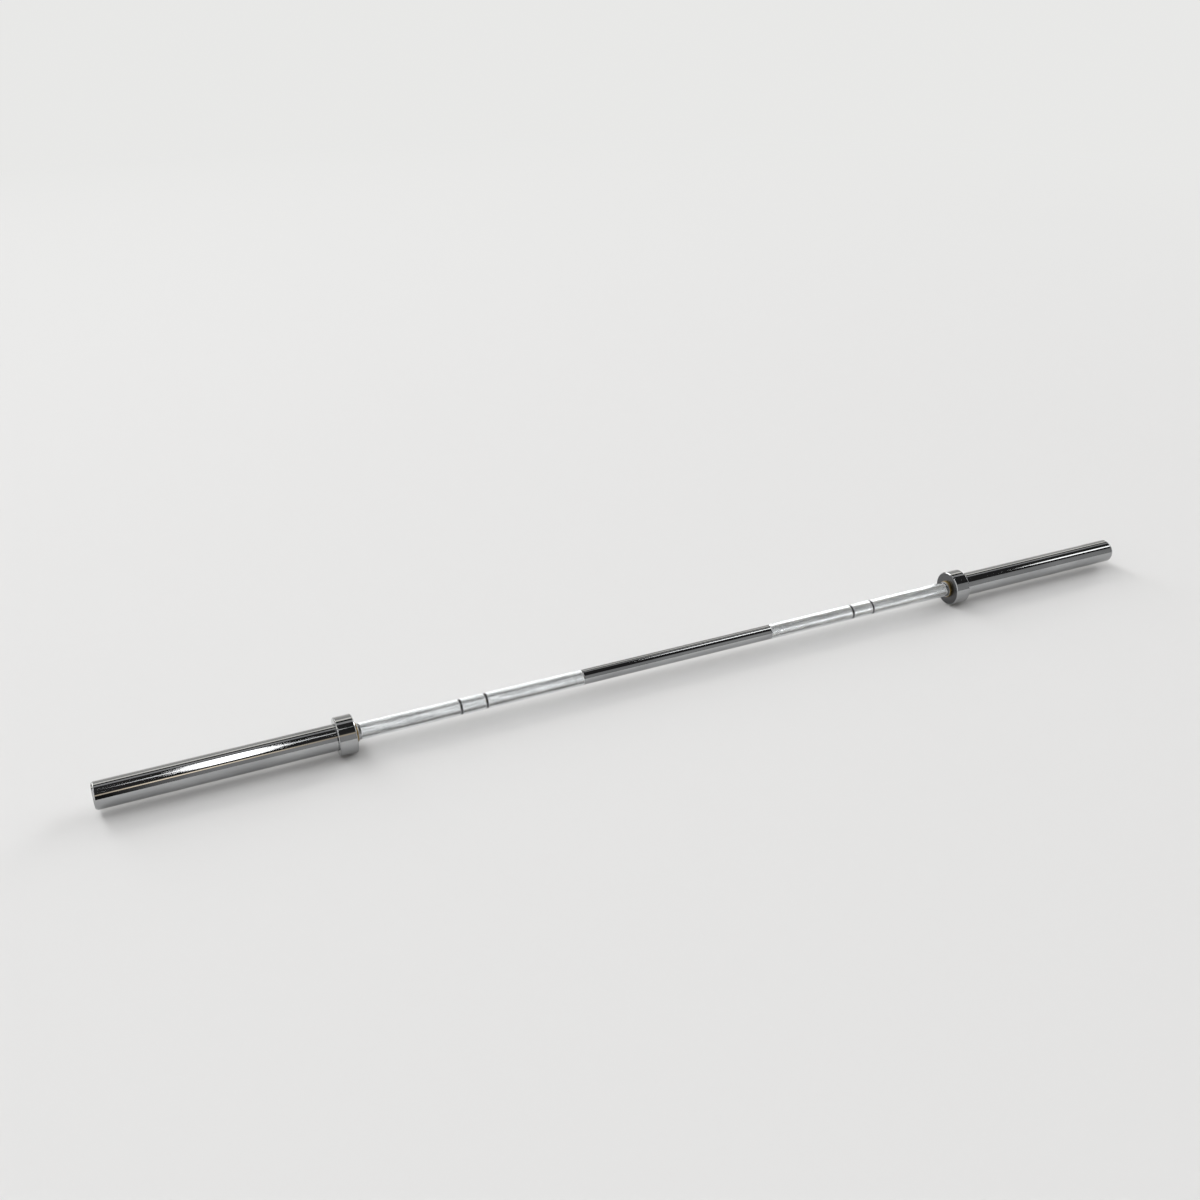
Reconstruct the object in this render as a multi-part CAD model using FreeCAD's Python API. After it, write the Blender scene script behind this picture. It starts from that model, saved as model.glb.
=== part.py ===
"""Olympic barbell: a one-piece shaft with two free-spinning end sleeves.

The frame is in millimetres. The bar lies along X with its middle at the origin, and +Z is up.
Each sleeve turns on two bronze bushes, is stopped inwards by a shoulder on the shaft and is held
on by a retaining ring near the shaft's end. Places along the bar are given as a distance s from
the middle, outwards, so that one set of values makes both ends.
"""
import FreeCAD, Part
import math
import os

Vector = FreeCAD.Vector

# Lengths that add up to the whole bar: 2200 mm
GRIP_LENGTH = 1310.0            # between the two collars' inner faces
COLLAR_WIDTH = 33.0
SLEEVE_LENGTH = 412.0           # room for plates, from the collar to the sleeve's end

# Shaft
SHAFT_DIAMETER = 30.0           # plain middle and lands
KNURL_RISE = 0.2                # crest of the knurl above the plain shaft, on the radius
KNURL_RUNOUT = 1.0              # length over which the knurl rises
PLAIN_MIDDLE = 415.0            # unknurled length at the middle
GRIP_MARK_INNER = 810.0         # distance between the two inner ring marks
GRIP_MARK_STEP = 50.0           # from each inner ring mark out to the next one
GRIP_MARK_WIDTH = 4.5
GRIP_MARK_DEPTH = 0.2           # below the plain shaft, on the radius
KNURL_TO_COLLAR = 10.0          # unknurled length beside each collar
SHOULDER_HEIGHT = 1.0           # step from the grip to the journal, on the radius
SHOULDER_EDGE = 0.3
SHAFT_END_CHAMFER = 1.5

# Sleeve tube and collar
SLEEVE_DIAMETER = 49.5
SLEEVE_END_BEVEL_LENGTH = 3.5
SLEEVE_END_BEVEL_HEIGHT = 2.0
SLEEVE_MOUTH_BEVEL = 0.6
SPIGOT_STEP = 1.0               # tube turned down under the collar, on the radius
SPIGOT_LEAD_IN = 1.0            # bevel that starts the tube into the collar
COLLAR_DIAMETER = 72.0
COLLAR_LIP = 6.0                # wall that the tube's inner end stops against
COLLAR_EDGE = 1.5
COLLAR_MOUTH_RELIEF = 0.5       # face cut back clear of the sleeve, on the radius

# Bushes
BUSH_WALL = 2.95
BUSH_FLANGE_STEP = 1.0          # flange beyond the body, on the radius
BUSH_FLANGE_THICKNESS = 5.0
BUSH_EDGE = 0.5
INNER_BUSH_LENGTH = 50.0
OUTER_BUSH_LENGTH = 40.0
RUNNING_CLEARANCE = 0.05        # journal to bush, on the radius

# Thrust washers
WASHER_THICKNESS = 2.0
SHOULDER_WASHER_THICKNESS = 1.5
SHOULDER_WASHER_OVERHANG = 1.5  # beyond the plain shaft, on the radius
WASHER_BORE_CLEARANCE = 0.15
WASHER_RIM_CLEARANCE = 0.3
END_FLOAT = 0.3                 # free axial play at each thrust face

# Chamber at the sleeve's outer end
CHAMBER_STEP = 2.0              # bush bore to washer chamber, on the radius
CAP_SEAT_STEP = 1.5             # washer chamber to cap seat, on the radius
SHAFT_END_ROOM = 4.0            # shaft end to the cap

# Retaining ring on the shaft
SHAFT_RING_THICKNESS = 2.0
SHAFT_RING_GROOVE_DEPTH = 1.0
SHAFT_RING_BAND = 3.2           # radial width opposite the gap
SHAFT_RING_LAND = 6.0           # shaft left beyond the groove
LUG_RADIUS = 1.9
LUG_HOLE_RADIUS = 0.8
RING_GAP = 5.0
RING_TAPER = 0.5                # how far the free edge's centre is moved off the axis
RING_SIDE_CLEARANCE = 0.05
RING_SEAT_CLEARANCE = 0.05

# End cap and its retaining ring
CAP_THICKNESS = 5.0
CAP_RIM = 4.5                   # raised border round the cap's face
CAP_DISH = 0.8                  # depth of the face inside the border
CAP_CLEARANCE = 0.05
CAP_RECESS = 5.5                # cap face to the sleeve's end
CAP_RING_THICKNESS = 1.6
CAP_RING_GROOVE_DEPTH = 1.2
CAP_RING_BAND = 3.4

# Radii that follow
shaft_r = SHAFT_DIAMETER / 2
knurl_r = shaft_r + KNURL_RISE
mark_r = shaft_r - GRIP_MARK_DEPTH
journal_r = shaft_r - SHOULDER_HEIGHT
shaft_groove_r = journal_r - SHAFT_RING_GROOVE_DEPTH
bush_bore_r = journal_r + RUNNING_CLEARANCE
bush_r = bush_bore_r + BUSH_WALL
flange_r = bush_r + BUSH_FLANGE_STEP
sleeve_r = SLEEVE_DIAMETER / 2
spigot_r = sleeve_r - SPIGOT_STEP
collar_r = COLLAR_DIAMETER / 2
chamber_r = bush_r + CHAMBER_STEP
cap_seat_r = chamber_r + CAP_SEAT_STEP
cap_groove_r = cap_seat_r + CAP_RING_GROOVE_DEPTH
cap_r = cap_seat_r - CAP_CLEARANCE
washer_bore_r = journal_r + WASHER_BORE_CLEARANCE
washer_r = chamber_r - WASHER_RIM_CLEARANCE
shoulder_washer_r = shaft_r + SHOULDER_WASHER_OVERHANG

# Places that follow, as distances from the middle
collar_face = GRIP_LENGTH / 2
collar_back = collar_face + COLLAR_WIDTH
bar_end = collar_back + SLEEVE_LENGTH
tube_start = collar_face + COLLAR_LIP
knurl_start = PLAIN_MIDDLE / 2
knurl_end = collar_face - KNURL_TO_COLLAR
mark_places = [GRIP_MARK_INNER / 2, GRIP_MARK_INNER / 2 + GRIP_MARK_STEP]
flange_face = collar_face - BUSH_FLANGE_THICKNESS
shoulder_washer_face = flange_face - END_FLOAT / 2 - SHOULDER_WASHER_THICKNESS
shoulder = shoulder_washer_face - END_FLOAT / 2
cap_face = bar_end - CAP_RECESS
cap_groove_outer = cap_face + CAP_RING_THICKNESS + 2 * RING_SIDE_CLEARANCE
cap_back = cap_face - CAP_THICKNESS
shaft_end = cap_back - SHAFT_END_ROOM
shaft_groove_outer = shaft_end - SHAFT_RING_LAND
shaft_groove_inner = shaft_groove_outer - SHAFT_RING_THICKNESS - 2 * RING_SIDE_CLEARANCE
steel_washer_face = shaft_groove_inner + RING_SIDE_CLEARANCE - END_FLOAT - WASHER_THICKNESS
bronze_washer_face = steel_washer_face - WASHER_THICKNESS - RING_SIDE_CLEARANCE
chamber_floor = bronze_washer_face
outer_bush_start = chamber_floor - OUTER_BUSH_LENGTH

# A bevel never takes more than this share of the wall that it is cut on
BEVEL_SHARE = 0.6

SIDES = {"left": -1, "right": 1}


def turned(side, profile):
    """Solid of revolution about the bar's axis from a closed outline of (s, radius) points."""
    points = [Vector(side * s, 0, r) for s, r in profile]
    face = Part.Face(Part.makePolygon(points + points[:1]))
    return face.revolve(Vector(0, 0, 0), Vector(1, 0, 0), 360)


def plain_ring(side, start, length, inner, outer):
    """Square-edged ring, such as a bush or a stamped washer."""
    end = start + length
    return turned(side, [(start, inner), (start, outer), (end, outer), (end, inner)])


def shaft_half():
    """Outline of half the shaft, from the end of its plain middle outwards to the axis at its end."""
    outline = [
        (knurl_start, shaft_r),
        (knurl_start + KNURL_RUNOUT, knurl_r),
    ]
    for place in mark_places:
        near = place - GRIP_MARK_WIDTH / 2
        far = place + GRIP_MARK_WIDTH / 2
        outline += [(near, knurl_r), (near, mark_r), (far, mark_r), (far, knurl_r)]
    outline += [
        (knurl_end - KNURL_RUNOUT, knurl_r),
        (knurl_end, shaft_r),
        (shoulder - SHOULDER_EDGE, shaft_r),
        (shoulder, shaft_r - SHOULDER_EDGE),
        (shoulder, journal_r),
        (shaft_groove_inner, journal_r),
        (shaft_groove_inner, shaft_groove_r),
        (shaft_groove_outer, shaft_groove_r),
        (shaft_groove_outer, journal_r),
        (shaft_end - SHAFT_END_CHAMFER, journal_r),
        (shaft_end, journal_r - SHAFT_END_CHAMFER),
        (shaft_end, 0),
    ]
    return outline


def shaft():
    """The one-piece bar: plain middle, knurled grips with ring marks, journals and ring grooves."""
    half = shaft_half()
    other = [(-s, r) for s, r in reversed(half)]
    return turned(1, other + half)


def sleeve(side):
    """Tube that carries the plates, with bush seats, a washer chamber and a seat for the end cap."""
    end_wall = sleeve_r - cap_seat_r - SLEEVE_MOUTH_BEVEL
    bevel_height = min(SLEEVE_END_BEVEL_HEIGHT, BEVEL_SHARE * end_wall)
    lead_in = min(SPIGOT_LEAD_IN, BEVEL_SHARE * (spigot_r - bush_r))
    return turned(side, [
        (tube_start, bush_r),
        (tube_start, spigot_r - lead_in),
        (tube_start + lead_in, spigot_r),
        (collar_back, spigot_r),
        (collar_back, sleeve_r),
        (bar_end - SLEEVE_END_BEVEL_LENGTH, sleeve_r),
        (bar_end, sleeve_r - bevel_height),
        (bar_end, cap_seat_r + SLEEVE_MOUTH_BEVEL),
        (bar_end - SLEEVE_MOUTH_BEVEL, cap_seat_r),
        (cap_groove_outer, cap_seat_r),
        (cap_groove_outer, cap_groove_r),
        (cap_face, cap_groove_r),
        (cap_face, cap_seat_r),
        (cap_back, cap_seat_r),
        (cap_back, chamber_r),
        (chamber_floor, chamber_r),
        (chamber_floor, bush_r),
    ])


def collar(side):
    """Stop ring pressed over the tube's spigot: plates rest against its outer face."""
    mouth_r = sleeve_r + COLLAR_MOUTH_RELIEF
    edge = min(COLLAR_EDGE, BEVEL_SHARE * (collar_r - mouth_r))
    return turned(side, [
        (collar_face, bush_r),
        (collar_face, collar_r - edge),
        (collar_face + edge, collar_r),
        (collar_back - edge, collar_r),
        (collar_back, collar_r - edge),
        (collar_back, mouth_r),
        (collar_back - (mouth_r - spigot_r), spigot_r),
        (tube_start, spigot_r),
        (tube_start, bush_r),
    ])


def inner_bush(side):
    """Flanged bronze bush at the collar; its flange stands proud of the collar's inner face."""
    edge = min(BUSH_EDGE, BEVEL_SHARE * BUSH_FLANGE_STEP)
    return turned(side, [
        (flange_face, bush_bore_r),
        (flange_face, flange_r - edge),
        (flange_face + edge, flange_r),
        (collar_face, flange_r),
        (collar_face, bush_r),
        (collar_face + INNER_BUSH_LENGTH, bush_r),
        (collar_face + INNER_BUSH_LENGTH, bush_bore_r),
    ])


def outer_bush(side):
    """Plain bronze bush near the sleeve's outer end, flush with the washer chamber's floor."""
    return plain_ring(side, outer_bush_start, OUTER_BUSH_LENGTH, bush_bore_r, bush_r)


def shoulder_washer(side):
    """Steel washer between the shaft's shoulder and the bush flange."""
    return plain_ring(side, shoulder_washer_face, SHOULDER_WASHER_THICKNESS,
                      washer_bore_r, shoulder_washer_r)


def bronze_thrust_washer(side):
    """Bronze washer on the chamber's floor; it turns with the sleeve."""
    return plain_ring(side, bronze_washer_face, WASHER_THICKNESS, washer_bore_r, washer_r)


def steel_thrust_washer(side):
    """Steel washer between the bronze one and the retaining ring."""
    return plain_ring(side, steel_washer_face, WASHER_THICKNESS, washer_bore_r, washer_r)


def disc(s, radius, thickness, y=0.0, z=0.0):
    """Round plate across the bar, from s towards +X."""
    return Part.makeCylinder(radius, thickness, Vector(s, y, z), Vector(1, 0, 0))


def lug_places(radius):
    """The two (y, z) centres beside the ring's gap, which is at the top."""
    half_angle = math.asin((RING_GAP / 2 + LUG_RADIUS) / radius)
    return [(sign * radius * math.sin(half_angle), radius * math.cos(half_angle)) for sign in (-1, 1)]


def shaft_ring(side):
    """External retaining ring: it sits in the shaft's groove and is widest opposite its gap."""
    inner_r = shaft_groove_r + RING_SEAT_CLEARANCE
    outer_r = inner_r + SHAFT_RING_BAND - RING_TAPER
    start = min(side * (shaft_groove_inner + RING_SIDE_CLEARANCE),
                side * (shaft_groove_outer - RING_SIDE_CLEARANCE))
    ring = disc(start, outer_r, SHAFT_RING_THICKNESS, 0, -RING_TAPER)
    lug_circle = inner_r + LUG_RADIUS + LUG_HOLE_RADIUS / 2
    for y, z in lug_places(lug_circle):
        ring = ring.fuse(disc(start, LUG_RADIUS, SHAFT_RING_THICKNESS, y, z))
    gap = Part.makeBox(SHAFT_RING_THICKNESS, RING_GAP, 2 * outer_r, Vector(start, -RING_GAP / 2, 0))
    ring = ring.cut(disc(start, inner_r, SHAFT_RING_THICKNESS)).cut(gap)
    for y, z in lug_places(lug_circle):
        ring = ring.cut(disc(start, LUG_HOLE_RADIUS, SHAFT_RING_THICKNESS, y, z))
    return ring.removeSplitter()


def cap_ring(side):
    """Internal retaining ring: it sits in the sleeve's groove and holds the end cap in."""
    outer_r = cap_groove_r - RING_SEAT_CLEARANCE
    inner_r = outer_r - CAP_RING_BAND + RING_TAPER
    start = min(side * (cap_face + RING_SIDE_CLEARANCE),
                side * (cap_groove_outer - RING_SIDE_CLEARANCE))
    lug_circle = outer_r - LUG_RADIUS - LUG_HOLE_RADIUS / 2 - CAP_RING_GROOVE_DEPTH
    ring = disc(start, outer_r, CAP_RING_THICKNESS)
    ring = ring.cut(disc(start, inner_r, CAP_RING_THICKNESS, 0, RING_TAPER))
    for y, z in lug_places(lug_circle):
        ring = ring.fuse(disc(start, LUG_RADIUS, CAP_RING_THICKNESS, y, z))
    gap = Part.makeBox(CAP_RING_THICKNESS, RING_GAP, 2 * outer_r, Vector(start, -RING_GAP / 2, 0))
    ring = ring.cut(gap)
    for y, z in lug_places(lug_circle):
        ring = ring.cut(disc(start, LUG_HOLE_RADIUS, CAP_RING_THICKNESS, y, z))
    return ring.removeSplitter()


def end_cap(side):
    """Turned disc that closes the sleeve: a raised border round a shallow dished face."""
    return turned(side, [
        (cap_back, 0),
        (cap_back, cap_r),
        (cap_face, cap_r),
        (cap_face, cap_r - CAP_RIM),
        (cap_face - CAP_DISH, cap_r - CAP_RIM - CAP_DISH),
        (cap_face - CAP_DISH, 0),
    ])


def build():
    """All the bar's pieces by node name."""
    pieces = {"shaft": shaft()}
    makers = {
        "sleeve": sleeve,
        "collar": collar,
        "inner_bush": inner_bush,
        "outer_bush": outer_bush,
        "shoulder_washer": shoulder_washer,
        "bronze_thrust_washer": bronze_thrust_washer,
        "steel_thrust_washer": steel_thrust_washer,
        "shaft_retaining_ring": shaft_ring,
        "end_cap": end_cap,
        "cap_retaining_ring": cap_ring,
    }
    for side_name, side in SIDES.items():
        for name, maker in makers.items():
            pieces[f"{side_name}_{name}"] = maker(side)
    return pieces


def main():
    os.makedirs("parts", exist_ok=True)
    for name, shape in build().items():
        shape.exportStep(f"parts/{name}.step")
        box = shape.BoundBox
        print(f"{name}: {len(shape.Solids)} solid, valid {shape.isValid()}, "
              f"{shape.Volume:.1f} mm3, x {box.XMin:.2f} to {box.XMax:.2f}")


main()
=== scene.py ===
# %% [markdown]
# # An olympic barbell, piece by piece
# The bar lies along X with its middle at the origin, in metres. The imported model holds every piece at
# its real size and says which pieces turn together, but its round pieces are faceted. Chrome shows
# every facet, so this lesson turns the pieces that show once more as smooth surfaces, presses the knurl
# into the grips and gives each metal its finish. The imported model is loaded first, because most sizes
# are read from it.

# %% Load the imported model
import math

import bpy
import numpy as np
from mathutils import Matrix, Vector


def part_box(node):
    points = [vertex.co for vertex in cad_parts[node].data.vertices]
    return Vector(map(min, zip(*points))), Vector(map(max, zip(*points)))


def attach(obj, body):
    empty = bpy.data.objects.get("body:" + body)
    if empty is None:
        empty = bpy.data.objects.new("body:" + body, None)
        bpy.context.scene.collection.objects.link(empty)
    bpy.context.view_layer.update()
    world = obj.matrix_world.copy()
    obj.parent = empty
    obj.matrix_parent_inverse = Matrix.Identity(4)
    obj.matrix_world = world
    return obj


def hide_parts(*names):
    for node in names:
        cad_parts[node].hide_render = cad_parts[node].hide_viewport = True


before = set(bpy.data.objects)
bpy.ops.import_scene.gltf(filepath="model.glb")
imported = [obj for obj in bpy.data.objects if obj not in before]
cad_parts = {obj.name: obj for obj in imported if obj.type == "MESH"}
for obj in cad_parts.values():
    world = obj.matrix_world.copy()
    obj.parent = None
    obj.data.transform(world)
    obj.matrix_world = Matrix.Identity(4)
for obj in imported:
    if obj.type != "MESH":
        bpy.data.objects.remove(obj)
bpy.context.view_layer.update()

# %% [markdown]
# ## Reading sizes from the model
# A turned piece is known by its two ends along the bar and its radius, and a node's box gives all
# three. They could be typed in again here, but then every change of size would have to be made twice.
# Distances are counted outwards from the middle of the bar, so that one set of values makes both ends:
# `SIDES` says which way is outwards.

# %% Ends and radius of a round node
MM = 0.001
SIDES = {"left": -1, "right": 1}


def round_size(node):
    """Nearest end, furthest end and radius of a turned node on the right-hand side, in metres."""
    low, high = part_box(node)
    return low.x, high.x, high.y


tube_start, bar_end, sleeve_r = round_size("right_sleeve")
collar_face, collar_back, collar_r = round_size("right_collar")
print("bar %.0f mm long, %.0f mm between the collars" % (2 * bar_end / MM, 2 * collar_face / MM))

# %% [markdown]
# ## Gathering points and faces
# Every piece below is worked out as whole arrays of points and faces. Blender's primitives could make
# the plain rings but not the knurl, so one small class serves for all. It gathers arrays of points,
# hands back their numbers, and gathers faces that are written with those numbers. Each patch of faces
# keeps a material number and says whether it is shaded smooth.

# %% A shell of points and faces


class Shell:
    """Points and faces that are gathered as arrays, to become one mesh."""

    def __init__(self):
        self.points = []
        self.patches = []
        self.count = 0

    def add_points(self, grid):
        """Adds an array of points (..., 3) and returns their numbers in the same layout."""
        flat = np.asarray(grid, float).reshape(-1, 3)
        numbers = np.arange(len(flat)).reshape(np.shape(grid)[:-1]) + self.count
        self.points.append(flat)
        self.count += len(flat)
        return numbers

    def add_faces(self, corners, material=0, smooth=True):
        """Adds faces from an array of point numbers, three or four to a face."""
        corners = np.asarray(corners)
        self.patches.append((corners.reshape(-1, corners.shape[-1]), material, smooth))


print("points of a 2 by 3 grid are numbered", Shell().add_points(np.zeros((2, 3, 3))).tolist())

# %% [markdown]
# ## From arrays to a mesh
# The signed volume of a closed shell is positive only when its faces look outwards, so a shell with a
# negative one is turned round: that is surer than minding the order of corners everywhere. Edges that
# bend by more than `SHARP_ANGLE` are marked sharp, or else a long polished face would be shaded as if
# it curved towards its ends.

# %% Make a piece of a shell
SHARP_ANGLE = math.radians(31)


def signed_volume(points, patches):
    """Sum of a . (b x c) / 6 over the triangles a, b, c that every face is cut into."""
    total = 0.0
    for corners, _, _ in patches:
        for k in range(1, corners.shape[1] - 1):
            a, b, c = (points[corners[:, i]] for i in (0, k, k + 1))
            total += np.einsum("ij,ij->i", a, np.cross(b, c)).sum() / 6
    return total


def make_piece(shell, name, materials):
    """Makes the shell's mesh and its object, which sits at the origin."""
    points = np.concatenate(shell.points)
    turn = 1 if signed_volume(points, shell.patches) > 0 else -1
    faces, numbers, smooth = [], [], []
    for corners, material, is_smooth in shell.patches:
        faces += corners[:, ::turn].tolist()
        numbers += [material] * len(corners)
        smooth += [is_smooth] * len(corners)
    mesh = bpy.data.meshes.new(name)
    mesh.from_pydata(points, [], faces)
    mesh.polygons.foreach_set("material_index", numbers)
    mesh.polygons.foreach_set("use_smooth", smooth)
    for material in materials:
        mesh.materials.append(material)
    mesh.update()
    mesh.set_sharp_from_angle(angle=SHARP_ANGLE)
    piece = bpy.data.objects.new(name, mesh)
    bpy.context.scene.collection.objects.link(piece)
    print(f"{name}: {len(points)} points, {len(faces)} faces")
    return piece


print("edges that bend by more than %.0f degrees stay sharp" % math.degrees(SHARP_ANGLE))

# %% [markdown]
# ## Rounded corners
# Almost every piece of a barbell comes off a lathe, so it is a profile of (distance, radius) points
# carried round the axis. A lathe never leaves a perfect corner, and on chrome the small rounding is
# what catches the light as a thin bright line. A Bevel modifier could round the edges afterwards, but a
# rounded profile keeps the mesh even and says where each radius is. A corner with a third value becomes
# an arc of that radius, with a support point just outside each end of the arc, so that the faces beside
# it stay flat in shading.

# %% Arcs in a profile
ARC_STEPS = 5
SUPPORT = 0.25 * MM
SUPPORT_SHARE = 0.45


def corner_arc(before, here, after, radius):
    """Arc that touches both sides of the corner `here`, between its two support points.

    Where the sides meet at an angle t, the arc touches them radius / tan(t / 2) from the corner and
    its centre lies radius / sin(t / 2) along the bisector. Even points of the chord are pushed out to
    that radius.
    """
    sides = np.array([before - here, after - here])
    lengths = np.linalg.norm(sides, axis=1)
    sides /= lengths[:, None]
    half_angle = math.acos(np.clip(sides[0] @ sides[1], -1, 1)) / 2
    reach = radius / math.tan(half_angle)
    bisector = sides.sum(axis=0) / np.linalg.norm(sides.sum(axis=0))
    centre = here + bisector * radius / math.sin(half_angle)
    first, last = here + sides * reach - centre
    share = np.linspace(0, 1, ARC_STEPS)[:, None]
    chord = first * (1 - share) + last * share
    arc = centre + radius * chord / np.linalg.norm(chord, axis=1)[:, None]
    supports = here + sides * np.minimum(reach + SUPPORT, SUPPORT_SHARE * lengths)[:, None]
    return np.vstack([supports[0], arc, supports[1]])


def rounded(corners):
    """The (s, r) points of a profile, in which each corner with a third value has become an arc."""
    spots = [np.array(corner[:2], float) for corner in corners]
    points = []
    for i, corner in enumerate(corners):
        if len(corner) > 2:
            points.extend(corner_arc(spots[i - 1], spots[i], spots[i + 1], corner[2]))
        else:
            points.append(spots[i])
    return np.array(points)


print("a rounded corner takes %d points" % len(rounded([(0, 0), (1, 0, 0.2), (1, 1)])[1:-1]))

# %% [markdown]
# ## Carrying a profile round
# A profile point at distance s and radius r, carried round by an angle, gives a ring of points, and all
# the rings together are a grid whose neighbours are joined by quads. Blender's Spin or Screw tools
# would do the same. With the arrays at hand, each row's last point is simply joined on to its first, so
# there is no seam to merge.

# %% Rings of points and the skin over them
TURN_STEPS = 192


def on_bar(side, s, r, angle):
    """Points (side s, r cos a, r sin a) for arrays of distances s, radii r and angles a."""
    s, r, angle = np.broadcast_arrays(s, r, angle)
    return np.stack([side * s, r * np.cos(angle), r * np.sin(angle)], axis=-1)


def ring_points(side, profile, steps=TURN_STEPS):
    """Carries each profile point (s, r) round the bar: one row of points for each."""
    angle = np.arange(steps) * 2 * math.pi / steps
    s, r = np.asarray(profile, float).T[:, :, None]
    return on_bar(side, s, r, angle)


def skin(rows):
    """Quads between neighbouring rows of point numbers; each row's last point joins on to its first."""
    ahead = np.roll(rows, -1, axis=1)
    return np.stack([rows[:-1], ahead[:-1], ahead[1:], rows[1:]], axis=-1)


print("a turn takes %d steps of %.2f degrees" % (TURN_STEPS, 360 / TURN_STEPS))

# %% [markdown]
# ## Rings and solids
# A bush is a ring: its profile goes round its own section and comes back to where it started. A disc is
# solid: each end of its profile lies on the axis. A row of points shrunk to radius zero would leave
# slivers with no area there, so a fan of triangles to one point closes it instead.

# %% Turned rings and turned solids


def turned_ring(name, side, corners, materials, second=()):
    """A ring: the profile goes right round its own section and ends where it starts.

    The strips between profile points whose numbers are in `second` take the second material.
    """
    shell = Shell()
    profile = rounded([*corners, corners[0]])[:-1]
    rows = shell.add_points(ring_points(side, profile))
    strips = skin(np.vstack([rows, rows[:1]]))
    has_second = np.isin(np.arange(len(strips)), second)
    shell.add_faces(strips[~has_second])
    shell.add_faces(strips[has_second], material=1)
    return make_piece(shell, name, materials)


def add_end(shell, side, place, row, outwards):
    """Closes a row with a fan of triangles to a point on the axis."""
    pole = shell.add_points(np.array([[side * place, 0, 0]]))
    fan = np.stack([row, np.roll(row, -1), np.broadcast_to(pole, row.shape)], axis=-1)
    shell.add_faces(fan if outwards else fan[:, ::-1], smooth=False)


def turned_solid(name, side, corners, material):
    """A solid: its profile starts and ends on the axis, where two fans close it."""
    shell = Shell()
    profile = rounded(corners)
    rows = shell.add_points(ring_points(side, profile[1:-1]))
    shell.add_faces(skin(rows))
    add_end(shell, side, profile[0][0], rows[0], False)
    add_end(shell, side, profile[-1][0], rows[-1], True)
    return make_piece(shell, name, [material])


print("meshes so far:", len(bpy.data.meshes), "from the packed model")

# %% [markdown]
# ## A metal and its nodes
# Every finish on the bar is a bare or plated metal, so each material is one Principled shader with
# Metallic at 1. Values that are the same all over are set on the shader's own sockets. What varies
# comes from nodes, and the helpers keep the finishes below down to a few lines that say what is seen.

# %% A material, a node and a link


def metal(name, colour, roughness):
    """A metal with one Principled shader, whose even values are set on its own sockets."""
    material = bpy.data.materials.new(name)
    material.use_nodes = True
    shader = material.node_tree.nodes["Principled BSDF"]
    shader.inputs["Base Color"].default_value = (*colour, 1)
    shader.inputs["Metallic"].default_value = 1
    shader.inputs["Roughness"].default_value = roughness
    return material


def add_node(material, kind, **values):
    """A new node with its properties set."""
    node = material.node_tree.nodes.new(kind)
    for key, value in values.items():
        setattr(node, key, value)
    return node


def join(material, source, target):
    """Links one socket to another."""
    material.node_tree.links.new(source, target)


print("materials so far:", len(bpy.data.materials), "from the packed model")

# %% [markdown]
# ## Values that follow the bar
# Marks on a bar have a direction: plates scuff a sleeve along its length, and a lathe leaves rings
# round it. Noise over Object coordinates, squeezed or stretched along X, gives both. A UV map could
# carry the marks too, but Object coordinates need no seam and have a real scale: so many grains to a
# metre.

# %% Noise and ranges
FINE_GRAINS = 3000
UNIT = (0, 1)
# spans of a noise's values that are stretched to a full range
NOISE_SPAN = (0.3, 0.7)
NARROW_SPAN = (0.35, 0.65)


def scaled_place(material, scale):
    """Object coordinates, each multiplied by its scale."""
    coordinates = add_node(material, "ShaderNodeTexCoord")
    mapping = add_node(material, "ShaderNodeMapping")
    mapping.inputs["Scale"].default_value = scale
    join(material, coordinates.outputs["Object"], mapping.inputs["Vector"])
    return mapping.outputs["Vector"]


def stretched_noise(material, grains, detail=3.0):
    """Noise over Object coordinates; grains gives its grains per metre along X, Y and Z."""
    noise = add_node(material, "ShaderNodeTexNoise")
    noise.inputs["Scale"].default_value = 1
    noise.inputs["Detail"].default_value = detail
    join(material, scaled_place(material, grains), noise.inputs["Vector"])
    return noise.outputs["Fac"]


def to_range(material, source, span, result):
    """Carries values from one span to another, held at its ends."""
    node = add_node(material, "ShaderNodeMapRange")
    for key, value in zip(("From Min", "From Max", "To Min", "To Max"), (*span, *result)):
        node.inputs[key].default_value = value
    join(material, source, node.inputs["Value"])
    return node.outputs["Result"]


def combined(material, operation, first, second):
    """Sum, product or the like of two values."""
    node = add_node(material, "ShaderNodeMath", operation=operation)
    join(material, first, node.inputs[0])
    join(material, second, node.inputs[1])
    return node.outputs["Value"]


print("the finest rings are %.2f mm apart" % (1 / FINE_GRAINS / MM))

# %% [markdown]
# ## What a value can change
# A value between 0 and 1 can shift the colour, set the roughness or raise a very low bump. A bump only
# tilts the light and leaves the mesh alone, which is right for marks of a few thousandths of a
# millimetre.

# %% Colour, roughness and bump from a value


def tint(material, source, dark, light):
    """Colour that goes from dark to light as a value goes from 0 to 1."""
    mix = add_node(material, "ShaderNodeMix", data_type="RGBA")
    mix.inputs["A"].default_value = (*dark, 1)
    mix.inputs["B"].default_value = (*light, 1)
    join(material, source, mix.inputs["Factor"])
    shader = material.node_tree.nodes["Principled BSDF"]
    join(material, mix.outputs["Result"], shader.inputs["Base Color"])


def set_roughness(material, source):
    """Roughness from a value."""
    join(material, source, material.node_tree.nodes["Principled BSDF"].inputs["Roughness"])


def set_bump(material, source, height):
    """Tilts the surface as if a value from 0 to 1 were a rise from 0 to a height in metres."""
    bump = add_node(material, "ShaderNodeBump")
    bump.inputs["Strength"].default_value = 1
    bump.inputs["Distance"].default_value = height
    join(material, source, bump.inputs["Height"])
    shader = material.node_tree.nodes["Principled BSDF"]
    join(material, bump.outputs["Normal"], shader.inputs["Normal"])


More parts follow.
